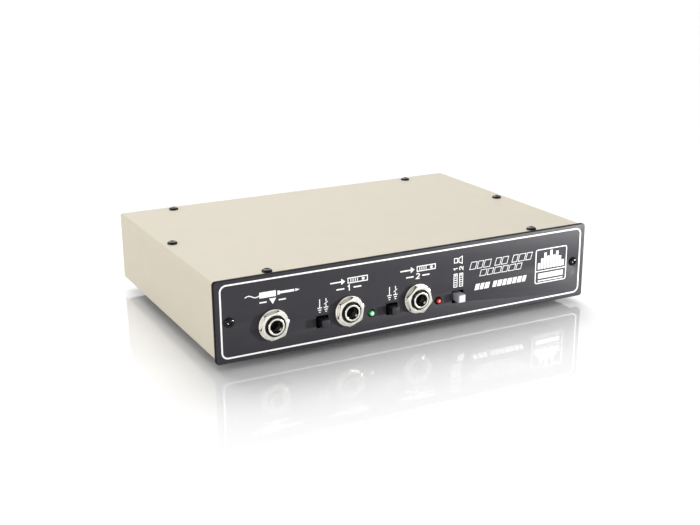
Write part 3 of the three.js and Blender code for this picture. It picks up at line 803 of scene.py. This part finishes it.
def socket_screw(head_diameter, head_height, length, socket):
    """A domed head with a hexagon socket, its seat at z = 0, and a threaded shank below."""
    head, shank = head_diameter / 2, 1.5
    pitch, groove, slices = 0.5, 0.15, 4
    rim = head_height * 0.28
    floor = head_height * (1 - 0.62)
    angles = angles_round(60)

    def dome(radius):
        return rim + (head_height - rim) * math.sqrt(max(0.0, 1 - (radius / head) ** 2))

    def ring(share, height=None, scale=1.0):
        """A ring between the socket's hexagon, at share 0, and the head's edge, at share 1."""
        points = []
        for a in angles:
            radius = scale * ((1 - share) * hexagon_reach(a, socket) + share * head)
            points.append(polar(radius, a, dome(radius) if height is None else height))
        return points

    rings = [[(0, 0, floor - 0.25)], ring(0, floor, 0.9), ring(0, floor + 0.08), ring(0, head_height - 0.16)]
    rings += [ring(share) for share in (0.03, 0.1, 0.25, 0.4, 0.55, 0.7, 0.8, 0.88, 0.94, 0.98, 1.0)]
    for share, height in ((0.995, 0.12), (0.96, 0)):
        rings.append([polar(share * head, a, height) for a in angles])
    for k in range(int(length / pitch * slices) + 1):
        height = -k * pitch / slices
        ring = []
        for a in angles:
            phase = (height / pitch - a / 2 / math.pi) % 1
            ring.append(polar(shank - groove * abs(2 * phase - 1), a, height))
        rings.append(ring)
    rings.append([(0, 0, -length - 0.3)])
    return Shape().rings(rings, closed=False)


def add_screws():
    """One screw for each screw node of the CAD."""
    # Each kind's head diameter, head height, shank length and socket width, and the wall it is in.
    kinds = {
        "cover_screw": (5.4, 1.6, 5.6, 2.0, TOP),
        "panel_screw": (5.0, 1.4, 8.6, 2.0, FRONT),
        "foot_screw": (5.6, 1.9, 7.6, 2.0, BOTTOM),
    }
    for node in frame["nodes"]:
        kind = "_".join(node.split("_")[:2])
        if kind not in kinds:
            continue
        *sizes, wall = kinds[kind]
        low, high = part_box(node)
        out = wall @ Vector((0, 0, 1))
        to_seat = abs(out.dot(high - low)) / 2 - sizes[1] * MM
        put(socket_screw(*sizes), f"{node}_steel", "screw_black", middle(node) + out * to_seat, wall, node)


def add_feet():
    """Turned rubber feet with a softened tread, two grooves round the side and a recess for the screw."""
    recess, recess_depth, hole, groove = 3.6, 2.8, 1.8, 0.3
    for side in ("front_left", "front_right", "rear_left", "rear_right"):
        node = f"rubber_foot_{side}"
        low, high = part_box(node)
        height = (high.z - low.z) / MM
        top = half_sizes(node)[0]
        tread = top - 1
        outside = [(recess, recess_depth), (recess, 0), (tread, 0)]
        for share in (0.42, 0.66):
            wide, level = tread + (top - tread) * share, height * share
            outside += [(wide, level - 0.25), (wide - groove, level), (wide, level + 0.25)]
        profile = outside + [(top, height), (hole, height), (hole, recess_depth)]
        centre = middle(node)
        shape = Shape().turned(eased(profile, 0.45))
        put(shape, f"foot_{side}", "rubber_black", (centre.x, centre.y, low.z), TOP, node)


# ---- jacks

def thread_rings(radius, high, low):
    """Rings down a single-start thread, from high to low."""
    depth, pitch, per_turn = 0.28, 0.8, 8
    flank = 2.2
    count = int((high - low) / pitch * per_turn)
    rings = []
    for k in range(count + 1):
        height = high - (high - low) * k / count
        ring = []
        for a in angles_round(ROUND_STEPS):
            phase = (height / pitch - a / 2 / math.pi) % 1
            ring.append(polar(radius - depth * min(1.0, flank * abs(phase - 0.5)), a, height))
        rings.append(ring)
    return rings


def jack_shape(nose, bush, body_front, body_back, seat=None):
    """A threaded bush with a blind bore in front of a moulded body; z = 0 is the outer face of the wall.

    The seat, if there is one, is the radius and the floor of the recess that holds a metal sleeve.
    """
    half, rib_pitch, ribs = 7.75, 2.6, 5
    bore_end = 1 - body_back
    rings = [[(0, 0, bore_end)], round_ring(JACK_BORE, bore_end)]
    mouth = JACK_BORE
    if seat:
        mouth, step = seat
        rings += [round_ring(JACK_BORE, step), round_ring(mouth, step)]
    rings += [round_ring(mouth, nose - 0.12), round_ring(mouth + 0.12, nose)]
    rings += [round_ring(bush - 0.55, nose), round_ring(bush - 0.42, nose - 0.1)]
    rings += thread_rings(bush, nose - 0.35, 0.2 - body_front)
    rings += [round_ring(bush - 0.3, -body_front - 1), [(0, 0, -body_front - 1)]]
    shape = Shape().rings(rings, closed=False)
    shape.block((-half, -half, -body_back), (half, half, -body_front), 0.6)
    for k in range(ribs):
        centre = (k - (ribs - 1) / 2) * rib_pitch
        low, high = (centre - 0.5, half - 0.2, 3 - body_back), (centre + 0.5, half, -body_front - 2)
        shape.block(low, high, 0.15, 1)
    return shape


def hex_nut(bore, back, front, turn):
    """A nut with both faces turned off to 30 degree cones, which leaves curved tops on its six flats."""
    slope = math.tan(math.radians(30))
    cone_start = NUT_ACROSS_FLATS / 2 * 1.06
    edge, ease = 0.12, 0.25
    spin = math.radians(turn)
    hexagon = [(a + spin, hexagon_reach(a, NUT_ACROSS_FLATS)) for a in angles_round(120)]

    def ring(radius, height):
        return [polar(radius, a, height) for a, _ in hexagon]

    def face(height):
        """The flat of a face, as far out as the flats or the cone let it reach."""
        return [polar(min(cone_start, reach - edge), a, height) for a, reach in hexagon]

    def rim(height, inwards):
        """Where the cone, or at least a small chamfer, meets the flats."""
        drops = [max(edge, (reach - cone_start) * slope) for _, reach in hexagon]
        return [polar(reach, a, height + inwards * drop) for (a, reach), drop in zip(hexagon, drops)]

    rings = [
        ring(bore, back + ease), ring(bore, front - ease), ring(bore + ease, front),
        face(front), rim(front, -1), rim(back, 1), face(back), ring(bore + ease, back),
    ]
    return Shape().rings(rings, closed=True)


def nut_turn(node, wall):
    """How far a nut was left turned, in degrees, from the corner of its CAD solid that reaches furthest."""
    centre = middle(node)
    corners = [wall.transposed() @ (vertex.co - centre) for vertex in frame["nodes"][node].data.vertices]
    best = 0.0
    angle = 0.0
    for corner in corners:
        reach = math.hypot(corner.x, corner.y)
        if reach > best + 1e-6:
            best = reach
            angle = math.degrees(math.atan2(corner.y, corner.x))
    return angle % 60


def add_nut(jack, place, wall, bore, slot):
    node = f"{jack}_nut"
    _, front, back = seen_from(wall, node)
    shape = hex_nut(bore, -back, front, nut_turn(node, wall))
    put(shape, f"{jack}_hex_nut", slot, place, wall, node)


def add_contact(jack, mouth, wall, degrees):
    """The end of a contact spring inside the bore: a bent strip whose bump touches the plug."""
    path = [(3.28, -0.9), (3.1, -1.1), (2.75, -1.7), (2.7, -2.3), (2.95, -3.1), (3.2, -5.5)]
    half_width, thickness = 0.55, 0.16
    rings = []
    for radius, height in path:
        section = box_points(radius, -half_width, radius + thickness, half_width)
        rings.append([(x, y, height) for x, y in section])
    turned = wall @ Matrix.Rotation(math.radians(degrees), 3, "Z")
    put(Shape().capped_rings(rings), f"{jack}_contact", "bright_nickel", mouth, turned)


def add_front_jacks():
    """Each jack with its bright sleeve, washer, nut and contact."""
    thread, seat = 5.35, 4.45
    sleeve_inner, sleeve_outer, sleeve_length = 3.4, 4.35, 5
    washer_inner, washer_outer, washer_back, washer_front = 5.95, 8.0, 0.1, 0.7
    for jack in FRONT_JACKS:
        place, nose, _ = seen_from(FRONT, f"{jack}_ferrule")
        _, bush_front, body_back = seen_from(FRONT, jack)
        end = nose - sleeve_length
        shape = jack_shape(bush_front, thread, 4.3, body_back, seat=(seat, end))
        put(shape, f"{jack}_body", "jack_plastic", place, FRONT, jack)

        section = eased(box_points(sleeve_inner, end, sleeve_outer, nose), 0.22, steps=5)
        put(Shape().turned(section), f"{jack}_sleeve", "bright_nickel", place, FRONT, f"{jack}_ferrule")
        section = eased(box_points(washer_inner, washer_back, washer_outer, washer_front), 0.14)
        put(Shape().turned(section), f"{jack}_flat_washer", "bright_nickel", place, FRONT, f"{jack}_washer")
        add_nut(jack, place, FRONT, 5.5, "bright_nickel")
        add_contact(jack, place - Vector((0, nose * MM, 0)), FRONT, -38)


def add_rear_jacks():
    thread = 5.7
    for jack in REAR_JACKS:
        place, _, _ = seen_from(REAR, f"{jack}_nut")
        _, nose, body_back = seen_from(REAR, jack)
        shape = jack_shape(nose, thread, 1.5, body_back)
        put(shape, f"{jack}_body", "jack_plastic", place, REAR, jack)
        add_nut(jack, place, REAR, 5.9, "jack_plastic")
        add_contact(jack, place + Vector((0, nose * MM, 0)), REAR, 90)


def add_dc_inlet():
    """The inlet's turned body with its flange outside the wall, and the pin in its bore."""
    place, front, back = seen_from(REAR, "dc_inlet")
    flange, nose, bore, pin, tip = 6.0, 3.9, 2.75, 1.05, -0.8
    bore_end = 2.5 - back
    outside = [(bore, bore_end), (bore, front), (flange, front), (flange, 0.1), (nose, 0.1)]
    profile = [(0, bore_end), *eased(outside, 0.2, closed=False), (nose, -back), (0, -back)]
    shape = Shape().turned(profile, closed=False)
    put(shape, "dc_inlet_body", "jack_plastic", place, REAR, "dc_inlet")
    rounded_tip = [(0, tip), (pin * 0.55, tip), (pin * 0.9, tip - 0.2), (pin, tip - 0.5)]
    shape = Shape().turned([*rounded_tip, (pin, bore_end), (0, bore_end)], closed=False)
    put(shape, "dc_inlet_pin", "bright_nickel", place, REAR)


# ---- buttons and indicator lights

def cap_shape(size, proud, reach):
    """A push-button cap with soft edges and a shallow square recess in its face, on its stem."""
    length, ease, rim = 8.0, 0.34, 0.42
    half_stem = 3.3 / 2
    work = bmesh.new()
    bmesh.ops.create_cube(work, size=1)
    for vertex in work.verts:
        x, y, z = vertex.co
        vertex.co = (x * size, y * size, proud - length * (0.5 - z))
    bmesh.ops.bevel(work, geom=work.edges[:], offset=ease, segments=4, profile=0.5, affect="EDGES")
    face = max(work.faces, key=lambda f: f.calc_center_median().z * (1 if f.normal.z > 0.99 else -1))
    bmesh.ops.inset_region(work, faces=[face], thickness=rim, depth=0)
    bmesh.ops.inset_region(work, faces=[face], thickness=0.12, depth=-0.1)
    shape = Shape().taken(work)
    shape.block((-half_stem, -half_stem, proud - reach), (half_stem, half_stem, proud - length + 1), 0.2, 2)
    return shape


def add_buttons():
    """The caps, each with a paler sheet in its face that paints the front lit and leaves the sides in shade.
    """
    for name, (_, cap_slot, lit_face_slot, rim) in BUTTONS.items():
        node = f"{name}_button"
        place, proud, back = seen_from(FRONT, node)
        _, half = half_sizes(node)
        put(cap_shape(2 * half, proud, proud + back), f"{name}_cap", cap_slot, place, FRONT, node, body=node)
        half -= rim
        # A paler sheet in the face: painted light on the front, against the darker sides.
        painted_lit_face = Shape().block((-half, -half, proud - 0.3), (half, half, proud + 0.02), 0.06)
        put(painted_lit_face, f"{name}_inlay", lit_face_slot, place, FRONT, body=node)


def add_switches():
    """Each push switch: a moulded case with an open square mouth that its cap's stem goes into."""
    mouth, depth = 3.8, 8.0
    for name in BUTTONS:
        node = f"{name}_switch"
        place, front, back = seen_from(FRONT, node)
        wide, tall = half_sizes(node)
        opening = rounded_box(0, 0, mouth, mouth, 0.2)
        shape = plate(rounded_box(0, 0, 2 * wide, 2 * tall, 0.5), [opening], depth, 0.3, 0.15)
        shape.moved(lambda x, y, z: (x, y, z + front))
        shape.block((-wide, -tall, -back), (wide, tall, front - depth), 0.3)
        put(shape, f"{name}_switch_case", "switch_plastic", place, FRONT, node)


def add_leds():
    """Each light: a domed lens on a flange behind the panel, and its two legs."""
    flange, flange_front, leg_pitch, half_leg = 1.85, -4.3, 2.54, 0.25
    for node, slot in LEDS.items():
        place, proud, back = seen_from(FRONT, node)
        quarter = [k * math.pi / 24 for k in range(1, 13)]
        dome = [(LED_RADIUS * math.sin(a), proud - LED_RADIUS + LED_RADIUS * math.cos(a)) for a in quarter]
        rear = flange_front - 1
        body = [(LED_RADIUS, flange_front), (flange, flange_front), (flange, rear), (0, rear)]
        shape = Shape().turned([(0, proud), *dome, *body], closed=False)
        for x in (-leg_pitch / 2, leg_pitch / 2):
            shape.block((x - half_leg, -half_leg, -back), (x + half_leg, half_leg, rear + 0.5), 0.05, 1)
        put(shape, f"{node}_lens", slot, place, FRONT, node)


# ---- printing on the panel

class Print(Shape):
    """Thin ink, drawn in the plane of the panel."""

    HEIGHT = 0.03

    def line(self, points, width, closed=False):
        """A line of one width along points, mitred at its corners."""
        sharpest_mitre = 0.4
        count = len(points)
        rings = []
        for i, point in enumerate(points):
            here = Vector(point)
            sides = []
            if closed or i:
                sides.append((here - Vector(points[i - 1])).normalized())
            if closed or i < count - 1:
                sides.append((Vector(points[(i + 1) % count]) - here).normalized())
            normals = [Vector((-side.y, side.x)) for side in sides]
            across = sum(normals, Vector((0, 0))).normalized()
            across *= width / 2 / max(sharpest_mitre, across.dot(normals[0]))
            (lx, ly), (rx, ry) = here + across, here - across
            low, high = -self.HEIGHT, self.HEIGHT
            rings.append([(lx, ly, low), (lx, ly, high), (rx, ry, high), (rx, ry, low)])
        if closed:
            self.rings(rings, closed=True)
        else:
            self.capped_rings(rings)

    def area(self, points):
        self.prism(points, -self.HEIGHT, self.HEIGHT)

    def dashes(self, x, y, start, end, width):
        """A level dash to each side of x."""
        for side in (-1, 1):
            self.line([(x + side * start, y), (x + side * end, y)], width)


def frame_line(art, width, height):
    """The printed line round the panel; each margin runs from the panel's edge to the line's middle."""
    left, right, bottom, top = 3.1, 3.0, 2.75, 2.3
    thickness, corner = 0.85, 3.2
    centre_x, centre_y = (left - right) / 2, (height + bottom - top) / 2
    outline = rounded_box(centre_x, centre_y, width - left - right, height - bottom - top, corner, steps=10)
    art.line(outline(0), thickness, closed=True)


def numeral(art, digit, x, y, height, line, turned=False):
    """The numeral 1 or 2, standing on (x, y) at its middle, or turned to read upwards."""
    width = 2.2
    if digit == 1:
        strokes = [(-0.3, 0.72), (0.08, 0.97), (0.08, 0.0)]
    else:
        bowl = [math.radians(160 - 20 * k) for k in range(10)]
        strokes = [(0.42 * math.cos(a), 0.68 + 0.27 * math.sin(a)) for a in bowl]
        strokes += [(-0.42, 0.07), (0.46, 0.07)]
    points = [(u * width, v * height) for u, v in strokes]
    if turned:
        points = [(-v + height / 2, u) for u, v in points]
    art.line([(x + u, y + v) for u, v in points], line)


def plug_sign(art, centre_x, y, width, height):
    """A jack plug on its lead, lying along a line of print; its parts are shares of its width."""
    middle_y = y + height / 2

    def along(share):
        return centre_x + (share - 0.5) * width

    def bar(start, end, tall):
        half = tall * height / 2
        art.area(box_points(along(start), middle_y - half, along(end), middle_y + half))

    waves = [k / 12 for k in range(13)]
    lead = [(along(0.26 * t), middle_y + 0.22 * height * math.sin(2 * math.pi * t)) for t in waves]
    art.line(lead, 0.5)
    bar(0.26, 0.56, 1.0)
    bar(0.59, 0.63, 0.72)
    bar(0.63, 0.90, 0.4)
    tip = 0.24 * height
    art.area([(along(0.92), middle_y - tip), (along(1.0), middle_y), (along(0.92), middle_y + tip)])


def arrow(art, x0, x1, y, head, line):
    """A level arrow that points right, from x0 to x1."""
    neck, half = x1 - head, head * 0.75
    art.line([(x0, y), (neck, y)], line)
    art.area([(neck, y - half), (x1, y), (neck, y + half)])


def input_sign(art, x, upper, lower):
    """A plug over an arrow that points down to its socket, between two dashes."""
    plug_sign(art, x, upper, 29, 3.0)
    art.area([(x - 1.9, lower + 3.0), (x, lower), (x + 1.9, lower + 3.0)])
    art.dashes(x, lower + 1.6, 3.2, 7, 0.7)


def output_sign(art, x, upper, lower, digit):
    """An arrow into an amplifier drawn as a box with a grille, over the amplifier's number."""
    half, knob = 10.5, 0.8
    left, right = x - half, x + half
    arrow(art, left, left + 8.4, upper + 1.5, 2.2, 0.7)
    art.line(box_points(right - 11, upper + 0.25, right, upper + 2.8), 0.5, closed=True)
    for k in range(4):
        bar = right - 9.4 + k * 1.25
        art.line([(bar, upper + 0.7), (bar, upper + 2.35)], 0.45)
    art.area(circle(right - 2.4, upper + 1.5, knob, 16))
    numeral(art, digit, x, lower, 3.0, 0.6)
    art.dashes(x, lower + 1.5, 2.6, 7, 0.7)


def ground_sign(art, x, low, high, lifted):
    """The sign for ground; lifted, its line is broken and crossed by a stroke."""
    line, stroke = 0.5, 0.45
    stem = low + 2.6
    for y, half in ((low + 0.25, 0.45), (low + 1.35, 0.85), (low + 2.45, 1.25)):
        art.line([(x - half, y), (x + half, y)], line)
    if lifted:
        art.line([(x, stem), (x, stem + 1.4)], line)
        art.line([(x, high - 1.6), (x, high)], line)
        art.line([(x - 1.0, stem + 1.5), (x + 1.0, high - 1.7)], stroke)
    else:
        art.line([(x, stem), (x, high)], line)


def selector_sign(art, x, low, high, digit):
    """An amplifier's number at the top of a column, over a small amplifier standing on end."""
    line = 0.42
    numeral(art, digit, x, high - 1.3, 2.4, 0.5, turned=True)
    art.line(box_points(x - 1.0, low + 0.2, x + 1.0, low + 7.4), line, closed=True)
    for k in range(4):
        y = low + 1.4 + k * 1.25
        art.line([(x - 0.6, y), (x + 0.6, y)], line)
    art.area(circle(x, low + 6.5, 0.5, 12))


def speaker_sign(art, x, low):
    """A loudspeaker seen from the side: its magnet box and its cone."""
    line = 0.45
    art.line(box_points(x - 2.7, low + 0.7, x - 0.7, low + 3.1), line, closed=True)
    cone = [(x + 0.1, low + 0.9), (x + 2.2, low - 0.1), (x + 2.2, low + 3.9), (x + 0.1, low + 2.9)]
    art.line(cone, line, closed=True)


def tiles(art, x0, x1, low, high, words, line=None):
    """A row of slanted tiles in groups, outlined with a line or solid."""
    slant = 0.28 * (high - low)
    widths = [1.0, 0.85, 1.1, 0.9]
    gap, space = 0.28, 0.9
    count = sum(words)
    units = sum(widths[i % len(widths)] for i in range(count))
    unit = (x1 - x0 - slant) / (units + gap * (count - len(words)) + space * (len(words) - 1))
    x = x0
    number = 0
    for word in words:
        for _ in range(word):
            width = widths[number % len(widths)] * unit
            points = [(x, low), (x + width, low), (x + width + slant, high), (x + slant, high)]
            if line:
                art.line(points, line, closed=True)
            else:
                art.area(points)
            x += width + gap * unit
            number += 1
        x += (space - gap) * unit


def emblem(art, x0, x1, low, high):
    """A plain rounded frame: a level meter above a dividing line, a solid bar and a thin one below."""
    centre, width = (x0 + x1) / 2, x1 - x0
    outline = rounded_box(centre, (low + high) / 2, width, high - low, 1.4)
    art.line(outline(-0.3), 0.55, closed=True)
    divide = low + 0.36 * (high - low)
    art.line([(x0 + 0.3, divide), (x1 - 0.3, divide)], 0.5)
    levels = [0.35, 0.6, 0.9, 0.7, 1.0, 0.7, 0.9, 0.6, 0.35]
    room = high - divide - 2.6
    pitch = (width - 3.2) / len(levels)
    for i, level in enumerate(levels):
        left = x0 + 1.6 + i * pitch
        art.area(box_points(left + 0.2, divide + 1.2, left + pitch - 0.2, divide + 1.2 + room * level))
    art.area(box_points(x0 + 2.2, low + 2.9, x1 - 2.2, divide - 1.3))
    art.line([(x0 + 2.2, low + 1.6), (x1 - 2.2, low + 1.6)], 0.6)


def add_printing():
    """All the print; heights are above the panel's bottom edge, and x is from its middle."""
    origin, width, _, height = panel_frame()

    def x_of(node):
        return (middle(node).x - origin.x) / MM

    upper, lower = 30.4, 26.6
    marks = {name: Print() for name in ("line", "sockets", "buttons", "title", "emblem")}
    frame_line(marks["line"], width, height)
    input_sign(marks["sockets"], x_of("input_jack_ferrule"), upper, lower)
    for digit in (1, 2):
        output_sign(marks["sockets"], x_of(f"amp_{digit}_jack_ferrule"), upper, lower, digit)
        button = x_of(f"ground_lift_{digit}_button")
        ground_sign(marks["buttons"], button - 1.35, 17.7, 24.8, False)
        ground_sign(marks["buttons"], button + 2.15, 17.7, 24.8, True)
    selector = x_of("selector_button") + 0.2
    for digit, offset in ((1, -1.75), (2, 1.75)):
        selector_sign(marks["buttons"], selector + offset, 18.1, 29.6, digit)
    speaker_sign(marks["buttons"], selector, 31.0)
    tiles(marks["title"], 34.0, 74.6, 26.6, 30.5, (3, 2, 3), line=0.32)
    tiles(marks["title"], 40.5, 68.0, 22.1, 25.4, (6,), line=0.32)
    tiles(marks["title"], 37.3, 71.3, 14.5, 17.9, (3, 7))
    emblem(marks["emblem"], 76.9, 98.2, 11.5, 31.3)
    for name, art in marks.items():
        put(art, f"print_{name}", "print_white", origin, FRONT)


# ---- what stays as it is in the CAD

def finish_cad_nodes():
    """Every CAD node gets its slot's material; those still shown get softened edges."""
    for row in frame["record"]["subparts"]:
        piece = frame["nodes"][row["node"]]
        piece.data.materials.clear()
        piece.data.materials.append(finishes[row["material_slot"]])
        if piece.hide_render:
            continue
        weld = piece.modifiers.new("weld", "WELD")
        weld.merge_threshold = 1e-6
        bevel = piece.modifiers.new("edges", "BEVEL")
        bevel.width = 0.12 * MM
        bevel.segments = 2
        bevel.limit_method = "ANGLE"
        bevel.angle_limit = math.radians(50)


# ---- the scene

bpy.context.scene.view_settings.view_transform = "Standard"
add_camera()
finishes = add_finishes()
add_front_panel()
add_cover()
add_tray()
add_screws()
add_feet()
add_front_jacks()
add_rear_jacks()
add_dc_inlet()
add_buttons()
add_switches()
add_leds()
add_printing()
finish_cad_nodes()
add_floor(floor_finish())
add_world(overhead=0.47, horizon=1.1, key_direction=(0.22, 0.65, 0.72), key_strength=5.5, key_tightness=12)
add_area_light("left_fill", (-1.0, 0.0, 0.14), size=0.2, power=3.1)
add_area_light("right_fill", (0.44, -0.38, 0.024), size=0.044, power=2.9, aim=(0, 0, 0.024))
add_area_light("front_fill", (0.7, -1.0, 0.1), size=0.16, power=1.5)
